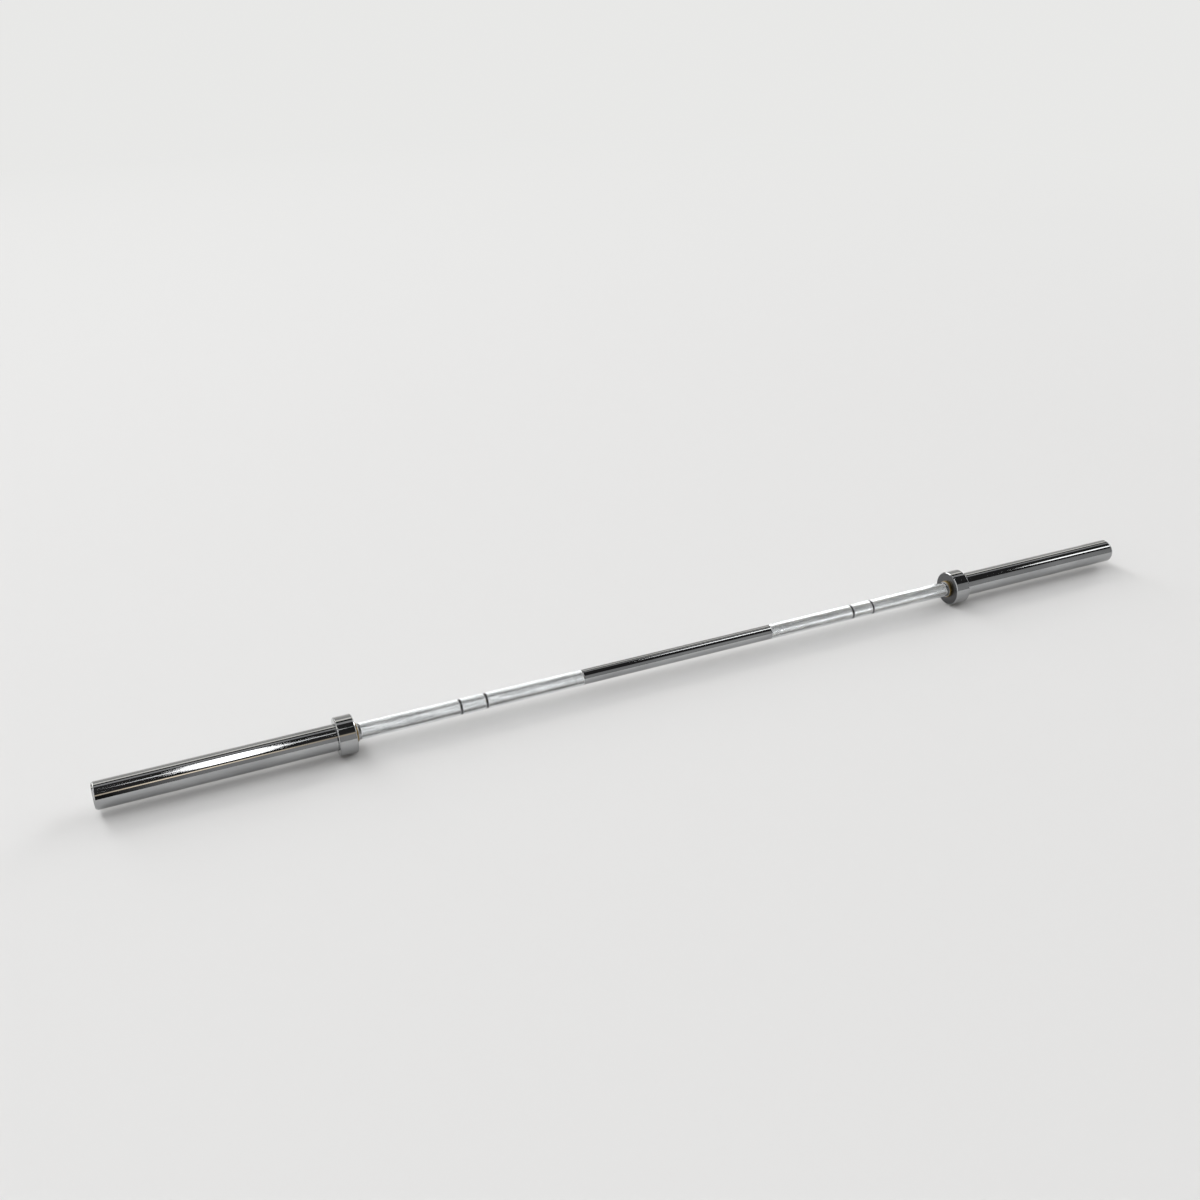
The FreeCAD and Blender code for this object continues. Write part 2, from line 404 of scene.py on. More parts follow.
print("a value drives", [tint.__name__, set_roughness.__name__, set_bump.__name__])

# %% [markdown]
# ## Chrome
# Chrome plating is a mirror over polished steel, and a little disturbance is what makes it look real: a
# cloudy tone, scuffs along the bar that blur it, and fine turning rings that spread a highlight along
# the bar. Sleeves are scuffed most, by the plates that slide on them, and caps least, so one function
# makes all four kinds. The long lines on the chrome aren't painted here: they are the room, which is
# built further on.

# %% Four chromes
CHROME_DARK = (0.37, 0.375, 0.38)
CHROME_LIGHT = (0.44, 0.445, 0.45)
POLISHED = (0.02, 0.05)
SCUFF_ROUGHNESS = 0.12
CLOUD_GRAINS = (9, 30, 30)
STREAK_GRAINS = (14, 900, 900)
STREAK_SPAN = (0.55, 0.75)
TURNING_RINGS = (FINE_GRAINS, 60, 60)
TURNING_HEIGHT = 0.006 * MM


def turning_noise(material):
    """Noise that changes quickly along the bar and slowly round it."""
    return stretched_noise(material, TURNING_RINGS, detail=2)


def chrome(name, scuffs):
    """Polished chrome; scuffs from 0 to 1 roughens it in streaks along the bar."""
    material = metal(name, CHROME_LIGHT, POLISHED[1])
    cloud = stretched_noise(material, CLOUD_GRAINS)
    streaks = stretched_noise(material, STREAK_GRAINS, detail=4)
    tint(material, to_range(material, cloud, NARROW_SPAN, UNIT), CHROME_DARK, CHROME_LIGHT)
    polish = to_range(material, cloud, NOISE_SPAN, POLISHED)
    wear = to_range(material, streaks, STREAK_SPAN, (0, SCUFF_ROUGHNESS * scuffs))
    set_roughness(material, combined(material, "ADD", polish, wear))
    set_bump(material, turning_noise(material), TURNING_HEIGHT)
    return material


sleeve_chrome = chrome("sleeve_chrome", 1.0)
shaft_chrome = chrome("shaft_chrome", 0.6)
collar_chrome = chrome("collar_chrome", 0.5)
cap_chrome = chrome("cap_chrome", 0.3)
print("each chrome has %d nodes" % len(sleeve_chrome.node_tree.nodes))

# %% [markdown]
# ## Sleeves
# The sleeve is the smooth tube that carries the plates and turns on the shaft. Its profile starts in
# the bore and goes over the part that is turned down for the collar, along the polished outside, over
# the bevelled end and into the recess with its ring groove. It could be cut from a cylinder with
# booleans, but a profile shows the whole section at a glance, as a lathe drawing does. The edges that
# show get a small radius.

# %% Profile of a sleeve
SPIGOT_STEP = 1.0 * MM
SPIGOT_LEAD_IN = 1.0 * MM
END_BEVEL_LENGTH = 3.5 * MM
END_BEVEL_HEIGHT = 2.0 * MM
BEVEL_ROUND = 1.5 * MM
END_ROUND = 0.5 * MM
MOUTH_BEVEL = 0.6 * MM
MOUTH_ROUND = 0.15 * MM
RUNNING_FIT = 0.05 * MM
WASHER_ROOM = 0.3 * MM
chamber_floor, bush_r = round_size("right_outer_bush")[1:]
cap_back, cap_face, cap_r = round_size("right_end_cap")
cap_ring_far, cap_ring_r = round_size("right_cap_retaining_ring")[1:]
spigot_r = sleeve_r - SPIGOT_STEP
cap_seat_r = cap_r + RUNNING_FIT
cap_groove_r = cap_ring_r + RUNNING_FIT
cap_groove_far = cap_ring_far + RUNNING_FIT
chamber_r = round_size("right_bronze_thrust_washer")[2] + WASHER_ROOM
sleeve_profile = [
    (chamber_floor, bush_r),
    (tube_start, bush_r),
    (tube_start, spigot_r - SPIGOT_LEAD_IN),
    (tube_start + SPIGOT_LEAD_IN, spigot_r),
    (collar_back, spigot_r),
    (collar_back, sleeve_r),
    (bar_end - END_BEVEL_LENGTH, sleeve_r, BEVEL_ROUND),
    (bar_end, sleeve_r - END_BEVEL_HEIGHT, END_ROUND),
    (bar_end, cap_seat_r + MOUTH_BEVEL, MOUTH_ROUND),
    (bar_end - MOUTH_BEVEL, cap_seat_r, MOUTH_ROUND),
    (cap_groove_far, cap_seat_r),
    (cap_groove_far, cap_groove_r),
    (cap_face, cap_groove_r),
    (cap_face, cap_seat_r),
    (cap_back, cap_seat_r),
    (cap_back, chamber_r),
    (chamber_floor, chamber_r),
]
print("sleeve %.1f mm across, bore %.1f mm" % (2 * sleeve_r / MM, 2 * bush_r / MM))

# %% [markdown]
# ## A piece takes its place
# Each new piece stands for a node of the imported model: that node is hidden, and the piece moves with
# its body. The two sleeves are the same profile, turned outwards to the left and to the right.

# %% Turn the two sleeves


def place(piece, body, slot, node):
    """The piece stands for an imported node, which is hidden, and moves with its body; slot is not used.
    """
    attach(piece, body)
    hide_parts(node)


for side_name, side in SIDES.items():
    sleeve = turned_ring(f"{side_name}_sleeve_tube", side, sleeve_profile, [sleeve_chrome])
    place(sleeve, f"{side_name}_sleeve", "sleeve_chrome", f"{side_name}_sleeve")

# %% [markdown]
# ## The inner face of a collar
# No plate ever touches the inner face of a collar. It is faced on the lathe, plated and left unpolished,
# so it is duller than the rim, with fine rings about the axis. Its dark grey is a painted reflection of
# dark surroundings in the face. The same noise over X as on the sleeves would give no rings on a face
# that lies square to X, so this noise follows the distance from the axis.

# %% Faced and unpolished, with a painted dark reflection
# painted reflection: the face's dark grey stands in for dark surroundings that it mirrors
DULL_DARK = (0.08, 0.08, 0.082)
PAINTED_FACE_GREY = (0.16, 0.16, 0.165)
FACED_ROUGHNESS = (0.35, 0.2)
FACING_RINGS = 2500
# leaves X out, so that only the distance from the axis counts
ACROSS = (0, 1, 1)


def place_length(material, scale):
    """Length of the Object coordinates, each first multiplied by its scale."""
    length = add_node(material, "ShaderNodeVectorMath", operation="LENGTH")
    join(material, scaled_place(material, scale), length.inputs[0])
    return length.outputs["Value"]


def facing_noise(material):
    """Noise over the distance from the axis."""
    noise = add_node(material, "ShaderNodeTexNoise", noise_dimensions="1D")
    noise.inputs["Scale"].default_value = FACING_RINGS
    join(material, place_length(material, ACROSS), noise.inputs["W"])
    return noise.outputs["Fac"]


def dull_plating(name, ring_noise, grey, roughness):
    """Unpolished plating, which ring_noise makes darker and rougher in fine rings."""
    material = metal(name, grey, roughness[1])
    rings = to_range(material, ring_noise(material), NOISE_SPAN, UNIT)
    tint(material, rings, DULL_DARK, grey)
    set_roughness(material, to_range(material, rings, UNIT, roughness))
    return material


painted_dark_face = dull_plating("collar_face", facing_noise, PAINTED_FACE_GREY, FACED_ROUGHNESS)
print("rings on the face are about %.1f mm apart" % (1 / FACING_RINGS / MM))

# %% [markdown]
# ## Collars
# The collar is the thick plain ring that stops the plates, pressed on to the sleeve's inner end. Both
# rims are bevelled, and light runs round the bevels as a thin line, so their edges are rounded a
# little. One profile could hold sleeve and collar together, but a separate ring keeps the fine joint
# between them.

# %% Turn the two collars
COLLAR_EDGE = 1.5 * MM
COLLAR_ROUND = 0.5 * MM
COLLAR_MOUTH_RELIEF = 0.5 * MM
COLLAR_MOUTH_ROUND = 0.2 * MM
# strips of the profile that make up the flat inner face, up to the start of its arc
INNER_FACE = (1, 2)
mouth_r = sleeve_r + COLLAR_MOUTH_RELIEF
collar_profile = [
    (tube_start, bush_r),
    (collar_face, bush_r),
    (collar_face, collar_r - COLLAR_EDGE, COLLAR_ROUND),
    (collar_face + COLLAR_EDGE, collar_r, COLLAR_ROUND),
    (collar_back - COLLAR_EDGE, collar_r, COLLAR_ROUND),
    (collar_back, collar_r - COLLAR_EDGE, COLLAR_ROUND),
    (collar_back, mouth_r, COLLAR_MOUTH_ROUND),
    (collar_back - (mouth_r - spigot_r), spigot_r),
    (tube_start, spigot_r),
]
collar_metals = [collar_chrome, painted_dark_face]
for side_name, side in SIDES.items():
    collar = turned_ring(f"{side_name}_stop_collar", side, collar_profile, collar_metals, INNER_FACE)
    place(collar, f"{side_name}_sleeve", "collar_chrome", f"{side_name}_collar")

# %% [markdown]
# ## The shaft's plain middle
# The shaft is one steel bar, smooth in the middle and knurled where the hands go. It is shown as three
# pieces, because the fine knurl would otherwise make one very heavy mesh. All three ride on the shaft,
# and their flat ends butt together where smooth steel meets knurl, so no joint shows.

# %% Turn the plain middle
PLAIN_MIDDLE = 415.0 * MM
PLAIN_RADIUS = 15.0 * MM
middle_profile = [
    (-PLAIN_MIDDLE / 2, 0),
    (-PLAIN_MIDDLE / 2, PLAIN_RADIUS),
    (PLAIN_MIDDLE / 2, PLAIN_RADIUS),
    (PLAIN_MIDDLE / 2, 0),
]
middle = turned_solid("shaft_plain_middle", 1, middle_profile, shaft_chrome)
place(middle, "shaft", "shaft_steel", "shaft")

# %% [markdown]
# ## The knurl's measures
# A knurling wheel presses two sets of grooves into the shaft, one winding each way, and leaves rows of
# small diamonds. Their number round the bar and the grooves' angle fix the pitch along it. The wheel
# raises the tops a little above the plain shaft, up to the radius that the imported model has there.

# %% Pitch and depth
KNURLS_ROUND = 56
KNURL_ANGLE = math.radians(30)
KNURL_DEPTH = 0.45 * MM
KNURL_FLAT = 0.2
shaft_end, knurl_crest = round_size("shaft")[1:]
knurl_root = knurl_crest - KNURL_DEPTH
pitch_round = 2 * math.pi * knurl_crest / KNURLS_ROUND
pitch_along = pitch_round / math.tan(KNURL_ANGLE)
print("a diamond every %.2f mm round and %.2f mm along" % (pitch_round / MM, pitch_along / MM))

# %% [markdown]
# ## Diamonds on a lattice
# A bump in the material would look flat at the bar's outline and vanish from the mesh, so the diamonds
# are real. Where two grooves cross there is a point on the root circle, and between four such points
# stands a low pyramid with a worn flat top. The crossings form a lattice in which every second row is
# turned by half a pitch, so a stretch of knurl is five faces for each diamond, all worked out at once.

# %% A stretch of knurl
# numbers of the grip's three finishes
PLATED, KNURLED, MARKED = range(3)


def add_knurl(shell, side, start, end):
    """Adds one knurled stretch and returns its first and last rows of root points.

    Root point m of row k is at angle m pitches, or m and a half on odd rows. The diamond between
    points m and m + 1 of row k has its other corners on rows k - 1 and k + 1. Its top is the same
    diamond, shrunk and raised to the crest.
    """
    rows = 2 * round((end - start) / pitch_along)
    step = (end - start) / rows
    pitch = 2 * math.pi / KNURLS_ROUND
    k = np.arange(rows + 1)[:, None]
    odd = (k % 2 == 1)
    angle = (np.arange(KNURLS_ROUND) + 0.5 * odd) * pitch
    root = shell.add_points(on_bar(side, start + k * step, knurl_root, angle))
    ahead = np.roll(root, -1, axis=1)
    # the point of the next or the last row that stands between points m and m + 1 of this row
    between_next = np.where(odd[:-1], ahead[1:], root[1:])
    between_last = np.where(odd[1:], ahead[:-1], root[:-1])
    south, north = root[1:-1], ahead[1:-1]
    west, east = between_last[:-1], between_next[1:]
    middle_s = start + k[1:-1] * step
    middle_angle = angle[1:-1] + pitch / 2
    half_s = KNURL_FLAT * step
    half_angle = KNURL_FLAT * pitch / 2
    top_west = shell.add_points(on_bar(side, middle_s - half_s, knurl_crest, middle_angle))
    top_east = shell.add_points(on_bar(side, middle_s + half_s, knurl_crest, middle_angle))
    top_south = shell.add_points(on_bar(side, middle_s, knurl_crest, middle_angle - half_angle))
    top_north = shell.add_points(on_bar(side, middle_s, knurl_crest, middle_angle + half_angle))
    for corners in (
        (west, north, top_north, top_west),
        (north, east, top_east, top_north),
        (east, south, top_south, top_east),
        (south, west, top_west, top_south),
        (top_west, top_north, top_east, top_south),
        (root[0], ahead[0], between_next[0]),
        (root[-1], between_last[-1], ahead[-1]),
    ):
        shell.add_faces(np.stack(corners, axis=-1), KNURLED, smooth=False)
    return root[0], root[-1]


trial = Shell()
add_knurl(trial, 1, 0, 20 * MM)
print("20 mm of knurl take %d points" % trial.count)

# %% [markdown]
# ## The knurl's finish
# The knurl carries the same plating as the rest of the shaft, but its small faces were pressed and not
# polished, so they look paler and scatter the light. The grooves are greyer than the tops: that is
# painted shade in the grooves. The distance from the bar's axis tells a top from a groove, so it can
# paint that shade without a UV map, and noise makes the wear uneven.

# %% Plated knurl
GROOVE_SHADE_GREY = (0.56, 0.58, 0.59)
TOP_PALE = (0.90, 0.92, 0.93)
GROOVE_SHADE_SHARE = 0.35
WEAR_GRAINS = (25, 260, 260)
PRESSED_GRAINS = (2500, 2500, 2500)
KNURL_ROUGHNESS = (0.18, 0.32)


def plated_knurl(name):
    """Pale, fairly rough plating with painted shade in the grooves and uneven wear."""
    material = metal(name, TOP_PALE, KNURL_ROUGHNESS[1])
    from_axis = place_length(material, ACROSS)
    # painted shade: greyer towards the root of the grooves
    height = to_range(material, from_axis, (knurl_root, knurl_crest), (0, GROOVE_SHADE_SHARE))
    streaks = stretched_noise(material, WEAR_GRAINS, detail=4)
    wear = to_range(material, streaks, NARROW_SPAN, (0, 1 - GROOVE_SHADE_SHARE))
    tint(material, combined(material, "ADD", height, wear), GROOVE_SHADE_GREY, TOP_PALE)
    grain = stretched_noise(material, PRESSED_GRAINS, detail=2)
    set_roughness(material, to_range(material, grain, NOISE_SPAN, KNURL_ROUGHNESS))
    return material


knurl_steel = plated_knurl("plated_knurl")
print("grey at radius %.2f mm, pale at %.2f mm" % (knurl_root / MM, knurl_crest / MM))

# %% [markdown]
# ## The floor of a ring mark
# The ring marks are narrow grooves. Polishing wheels pass over them, and they are coloured darker than
# the grip, so they read as dark lines on it. The same chrome as on the plain middle would be too bright,
# so they get the dull plating of the collars' faces, here with the rings that the tool left along the
# bar.

# %% Dull plating along the bar
MARK_GREY = (0.19, 0.19, 0.195)
MARK_ROUGHNESS = (0.35, 0.15)
mark_steel = dull_plating("ring_mark", turning_noise, MARK_GREY, MARK_ROUGHNESS)
print("ring marks mirror %.0f to %.0f %% of the light" % (100 * DULL_DARK[0], 100 * MARK_GREY[0]))

# %% [markdown]
# ## The journal
# Past the knurl come a short plain land, the shoulder that stops the sleeve, the journal that runs in
# the bushes and the groove for the ring that holds the sleeve on. Most of it is hidden in the sleeve,
# but it is all there, so that the sleeve turns on something real when it is taken off or cut open.

# %% Profile of a journal
KNURL_END = 645.0 * MM
SHOULDER_GAP = 0.15 * MM
JOURNAL_RADIUS = 14.0 * MM
RING_GROOVE_RADIUS = 13.0 * MM
SHAFT_END_CHAMFER = 1.5 * MM
SHOULDER_ROUND = 0.3 * MM
washer_face, washer_back, shoulder_washer_r = round_size("right_shoulder_washer")
shaft_ring_near, shaft_ring_far = round_size("right_shaft_retaining_ring")[:2]
shoulder = washer_face - SHOULDER_GAP
journal_profile = [
    (KNURL_END, PLAIN_RADIUS),
    (shoulder, PLAIN_RADIUS, SHOULDER_ROUND),
    (shoulder, JOURNAL_RADIUS),
    (shaft_ring_near - RUNNING_FIT, JOURNAL_RADIUS),
    (shaft_ring_near - RUNNING_FIT, RING_GROOVE_RADIUS),
    (shaft_ring_far + RUNNING_FIT, RING_GROOVE_RADIUS),
    (shaft_ring_far + RUNNING_FIT, JOURNAL_RADIUS),
    (shaft_end - SHAFT_END_CHAMFER, JOURNAL_RADIUS),
    (shaft_end, JOURNAL_RADIUS - SHAFT_END_CHAMFER),
]
print("journal %.0f mm long" % ((shaft_end - shoulder) / MM))

# %% [markdown]
# ## From knurl to plain steel
# A plain ring here has two points for every knurl, so that it looks round enough, and a knurled row has
# one. Three triangles for each knurl close the seam between them without an extra point.

# %% Plain stretches and seams
GRIP_STEPS = 2 * KNURLS_ROUND


def add_plain(shell, side, profile, finish):
    """Adds a smooth stretch of the grip and returns its rows of points."""
    rows = shell.add_points(ring_points(side, profile, GRIP_STEPS))
    shell.add_faces(skin(rows), finish)
    return rows


def add_seam(shell, ring, row, finish, ring_first):
    """Joins a plain ring of 2 n points to a knurled row of n points with 3 n triangles."""
    here, mid = ring[0::2], ring[1::2]
    ahead = np.roll(here, -1)
    row_ahead = np.roll(row, -1)
    faces = np.concatenate([
        np.stack([row, here, mid], axis=-1),
        np.stack([row, mid, row_ahead], axis=-1),
        np.stack([row_ahead, mid, ahead], axis=-1),
    ])
    shell.add_faces(faces if ring_first else faces[:, ::-1], finish, smooth=False)


print("a seam takes %d triangles" % (3 * KNURLS_ROUND))

# %% [markdown]
# ## The grips
# Each grip has three knurled stretches with a plain ring mark between them, which shows the lifter
# where to hold. The grip is built outwards: knurl, mark, knurl, mark, knurl and journal. Each knurled
# stretch is sewn to the plain one before it and to the one after it, and both ends are closed.

# %% Build the two grips
GRIP_MARKS = (405.0 * MM, 455.0 * MM)
GRIP_MARK_WIDTH = 4.5 * MM
GRIP_MARK_RADIUS = 14.8 * MM
MARK_EDGE = 0.25 * MM
KNURL_RUNOUT = 1.0 * MM


def grip(name, side):
    """One grip with its journal, from the plain middle to the end of the shaft."""
    shell = Shell()
    start = PLAIN_MIDDLE / 2
    before = add_plain(shell, side, [(start, PLAIN_RADIUS)], PLATED)
    finish_before = PLATED
    add_end(shell, side, start, before[0], False)
    half_width = GRIP_MARK_WIDTH / 2
    half_floor = half_width - MARK_EDGE
    starts = [start + KNURL_RUNOUT] + [mark + half_width for mark in GRIP_MARKS]
    ends = [mark - half_width for mark in GRIP_MARKS] + [KNURL_END - KNURL_RUNOUT]
    plains = [
        ([(mark - half_floor, GRIP_MARK_RADIUS), (mark + half_floor, GRIP_MARK_RADIUS)], MARKED)
        for mark in GRIP_MARKS
    ]
    plains.append((rounded(journal_profile), PLATED))
    for knurl_from, knurl_to, (profile, finish) in zip(starts, ends, plains):
        first_row, last_row = add_knurl(shell, side, knurl_from, knurl_to)
        after = add_plain(shell, side, profile, finish)
        add_seam(shell, before[-1], first_row, finish_before, True)
        add_seam(shell, after[0], last_row, finish, False)
        before = after
        finish_before = finish
    add_end(shell, side, shaft_end, before[-1], True)
    return make_piece(shell, name, [shaft_chrome, knurl_steel, mark_steel])


for side_name, side in SIDES.items():
    place(grip(f"{side_name}_grip", side), "shaft", "shaft_steel", "shaft")

# %% [markdown]
# ## Bronze
# The bushes are bearing bronze, turned and left bare: tool rings run round them and a brown bloom dulls
# the gold. An even gold would look like paint, so the bloom is cloudy and the rings change the
# roughness and raise a low bump.

# %% Turned bronze
BRONZE_BROWN = (0.18, 0.13, 0.06)
BRONZE_GOLD = (0.40, 0.30, 0.14)
BLOOM_GRAINS = (120, 120, 120)
BLOOM_SPAN = (0.35, 0.7)
BRONZE_RINGS = (FINE_GRAINS, 40, 40)
BRONZE_ROUGHNESS = (0.15, 0.35)
BRONZE_RING_HEIGHT = 0.02 * MM


def bronze(name):
    """Turned bronze: rings from the tool and a brown bloom."""
    material = metal(name, BRONZE_GOLD, BRONZE_ROUGHNESS[1])
    bloom = stretched_noise(material, BLOOM_GRAINS, detail=4)
    tint(material, to_range(material, bloom, BLOOM_SPAN, UNIT), BRONZE_BROWN, BRONZE_GOLD)
    rings = stretched_noise(material, BRONZE_RINGS, detail=2)
    set_roughness(material, to_range(material, rings, NOISE_SPAN, BRONZE_ROUGHNESS))
    set_bump(material, rings, BRONZE_RING_HEIGHT)
    return material


bush_bronze = bronze("bush_bronze")
print("bronze rings are %.2f mm high" % (BRONZE_RING_HEIGHT / MM))

# %% [markdown]
# ## Plain steels
# The washers are ground steel and the retaining rings blackened spring steel, both with cloudy patches
# and no direction. One function makes both, because they differ only in how dark they are.

# %% Ground steel and spring steel
PATCH_GRAINS = (300, 300, 300)
STEEL_ROUGHNESS = (0.25, 0.45)
WASHER_TONES = (0.42, 0.42, 0.43), (0.55, 0.55, 0.56)
SPRING_TONES = (0.06, 0.06, 0.065), (0.14, 0.14, 0.15)


def cloudy_steel(name, dark, light):
    """Ground or blackened steel with cloudy patches."""
    material = metal(name, light, STEEL_ROUGHNESS[1])
    noise = stretched_noise(material, PATCH_GRAINS, detail=4)
    cloud = to_range(material, noise, NOISE_SPAN, UNIT)
    tint(material, cloud, dark, light)
    set_roughness(material, to_range(material, cloud, UNIT, STEEL_ROUGHNESS))
    return material


washer_steel = cloudy_steel("washer_steel", *WASHER_TONES)
spring_steel = cloudy_steel("spring_steel", *SPRING_TONES)
print("inner metals:", [material.name for material in (bush_bronze, washer_steel, spring_steel)])

# %% [markdown]
# ## Bushes and shoulder washers
# The bronze flange shows as a warm ring between the shaft and the collar. It turns with the sleeve,
# while the thin steel washer beside it stays with the shaft. Both are plain rings with the edges just
# broken. They are turned again because the eye ends up here when the bar is seen from close by.

# %% Turn the bushes and washers
BUSH_EDGE = 0.5 * MM
BUSH_ROUND = 0.15 * MM
WASHER_FIT = 0.15 * MM
WASHER_ROUND = 0.2 * MM
flange_face, inner_bush_end, flange_r = round_size("right_inner_bush")
bush_bore_r = JOURNAL_RADIUS + RUNNING_FIT
washer_bore_r = JOURNAL_RADIUS + WASHER_FIT
bush_profile = [
    (inner_bush_end, bush_bore_r),
    (flange_face, bush_bore_r),
    (flange_face, flange_r - BUSH_EDGE, BUSH_ROUND),
    (flange_face + BUSH_EDGE, flange_r, BUSH_ROUND),
    (collar_face, flange_r),
    (collar_face, bush_r),
    (inner_bush_end, bush_r),
]
washer_profile = [
    (washer_back, washer_bore_r),
    (washer_face, washer_bore_r),
    (washer_face, shoulder_washer_r, WASHER_ROUND),
    (washer_back, shoulder_washer_r, WASHER_ROUND),
]
for side_name, side in SIDES.items():
    bush = turned_ring(f"{side_name}_flanged_bush", side, bush_profile, [bush_bronze])
    place(bush, f"{side_name}_sleeve", "bush_bronze", f"{side_name}_inner_bush")
    washer = turned_ring(f"{side_name}_thrust_ring", side, washer_profile, [washer_steel])
    place(washer, "shaft", "washer_steel", f"{side_name}_shoulder_washer")

# %% [markdown]
# ## End caps
# The cap closes the sleeve and keeps grit out of the outer bush. It is a turned disc with a raised
# border round a bare face, held in by a split ring in the sleeve's groove. Its profile runs from the
# axis out to the rim and back to the axis, so it is a solid and not a ring.

# %% Turn the two end caps
CAP_RIM = 4.5 * MM
CAP_DISH = 0.8 * MM
CAP_ROUND = 0.3 * MM
cap_profile = [
    (cap_back, 0),
    (cap_back, cap_r, CAP_ROUND),
    (cap_face, cap_r, CAP_ROUND),
    (cap_face, cap_r - CAP_RIM, CAP_ROUND),
    (cap_face - CAP_DISH, cap_r - CAP_RIM - CAP_DISH, CAP_ROUND),
    (cap_face - CAP_DISH, 0),
]
for side_name, side in SIDES.items():
    cap = turned_solid(f"{side_name}_cap_disc", side, cap_profile, cap_chrome)
    place(cap, f"{side_name}_sleeve", "cap_chrome", f"{side_name}_end_cap")

# %% [markdown]
# ## Inside the sleeves
# The outer bushes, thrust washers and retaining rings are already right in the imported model. Little of
# them is seen, so nothing would be gained by turning them again: they stay as they are and only get
# their metal.

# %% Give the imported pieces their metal
INNER_METALS = {
    "outer_bush": bush_bronze,
    "bronze_thrust_washer": bush_bronze,
    "steel_thrust_washer": washer_steel,
    "shaft_retaining_ring": spring_steel,
    "cap_retaining_ring": spring_steel,
}
for side_name in SIDES:
    for node_name, material in INNER_METALS.items():
        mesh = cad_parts[f"{side_name}_{node_name}"].data
        mesh.materials.clear()
        mesh.materials.append(material)
print("packed pieces with a metal of their own:", len(SIDES) * len(INNER_METALS))

# %% [markdown]
# ## A backdrop without a horizon
# A studio hangs a roll of paper that curves up behind the object, so that no horizon shows. Here the
# floor fades with distance into the even tone of the backdrop instead. Only the camera and mirrors see
# that fade, so it doesn't change the light.

# %% Studio pieces and the fade
BACKDROP = (0.81, 0.81, 0.80)
FADE_DISTANCES = (1.8, 6.0)
LEVEL = (1, 1, 0)


def stage_mesh(name, points, faces, material):
    """A mesh that belongs to the studio and not to the bar."""
    mesh = bpy.data.meshes.new(name)
    mesh.from_pydata(points, [], faces)
    mesh.materials.append(material)
    thing = bpy.data.objects.new(name, mesh)
    bpy.context.scene.collection.objects.link(thing)
    return thing


def fade_to_backdrop(material):
    """Lets the camera and mirrors see the backdrop in place of the paint, the further the more."""
    rays = add_node(material, "ShaderNodeLightPath").outputs
    mirrored = combined(material, "ADD", rays["Is Glossy Ray"], rays["Is Transmission Ray"])
    seen = combined(material, "ADD", rays["Is Camera Ray"], mirrored)
    far = to_range(material, place_length(material, LEVEL), FADE_DISTANCES, UNIT)
    glow = add_node(material, "ShaderNodeEmission")
    glow.inputs["Color"].default_value = (*BACKDROP, 1)
    mix = add_node(material, "ShaderNodeMixShader")
    nodes = material.node_tree.nodes
    join(material, combined(material, "MULTIPLY", seen, far), mix.inputs["Fac"])
    join(material, nodes["Principled BSDF"].outputs["BSDF"], mix.inputs[1])
    join(material, glow.outputs["Emission"], mix.inputs[2])
    join(material, mix.outputs["Shader"], nodes["Material Output"].inputs["Surface"])


print("the floor fades out between %.1f and %.1f m" % FADE_DISTANCES)

# %% [markdown]
# ## The floor
# The bar rests on its two collars, the widest pieces, so the floor lies one collar radius below the
# axis. It is a large sheet of matt pale paint, which takes the soft shadow and lights the bar from
# below. Paint is no metal and this one has no gloss, so both values are set to 0.

# %% Lay the floor
FLOOR_HALF = 30.0
FLOOR_PALE = (0.77, 0.77, 0.77)
FLOOR_ROUGHNESS = 0.9
floor_paint = metal("floor_paint", FLOOR_PALE, FLOOR_ROUGHNESS)
floor_shader = floor_paint.node_tree.nodes["Principled BSDF"]
floor_shader.inputs["Metallic"].default_value = 0
floor_shader.inputs["Specular IOR Level"].default_value = 0
fade_to_backdrop(floor_paint)
floor_corners = [
    (-FLOOR_HALF, -FLOOR_HALF, -collar_r),
    (FLOOR_HALF, -FLOOR_HALF, -collar_r),
    (FLOOR_HALF, FLOOR_HALF, -collar_r),
    (-FLOOR_HALF, FLOOR_HALF, -collar_r),
]
stage_mesh("floor", floor_corners, [(0, 1, 2, 3)], floor_paint)
print("floor %.1f mm below the axis" % (collar_r / MM))

# %% [markdown]
# ## The room that the chrome shows
# Polished chrome has next to no colour of its own: what the eye sees in it is the room. A picture of a
# room could be wrapped round the scene, but a few long cards show plainly what makes which line. They
# hang in a canopy parallel to the bar, each between two angles round it: 0 looks level towards the
# camera's side, 90 straight up and 180 level to the back. A card glows evenly, or fades along its
# length.

# %% A card that glows
CANOPY_RADIUS = 26.0
CANOPY_HALF = 70.0
CARD_STEPS = 9


def glowing(name, colour, strength, fade):
    """Even glow; fade = (from x, to x, strength there) lets it go over to another strength along X."""
    material = bpy.data.materials.new(name)
    material.use_nodes = True
    nodes = material.node_tree.nodes
    nodes.remove(nodes["Principled BSDF"])
    glow = add_node(material, "ShaderNodeEmission")
    glow.inputs["Color"].default_value = (*colour, 1)
    glow.inputs["Strength"].default_value = strength
    if fade:
        from_x, to_x, far_strength = fade
        split = add_node(material, "ShaderNodeSeparateXYZ")
        join(material, scaled_place(material, (1, 1, 1)), split.inputs["Vector"])
        value = to_range(material, split.outputs["X"], (from_x, to_x), (strength, far_strength))
        join(material, value, glow.inputs["Strength"])
    join(material, glow.outputs["Emission"], nodes["Material Output"].inputs["Surface"])
    return material


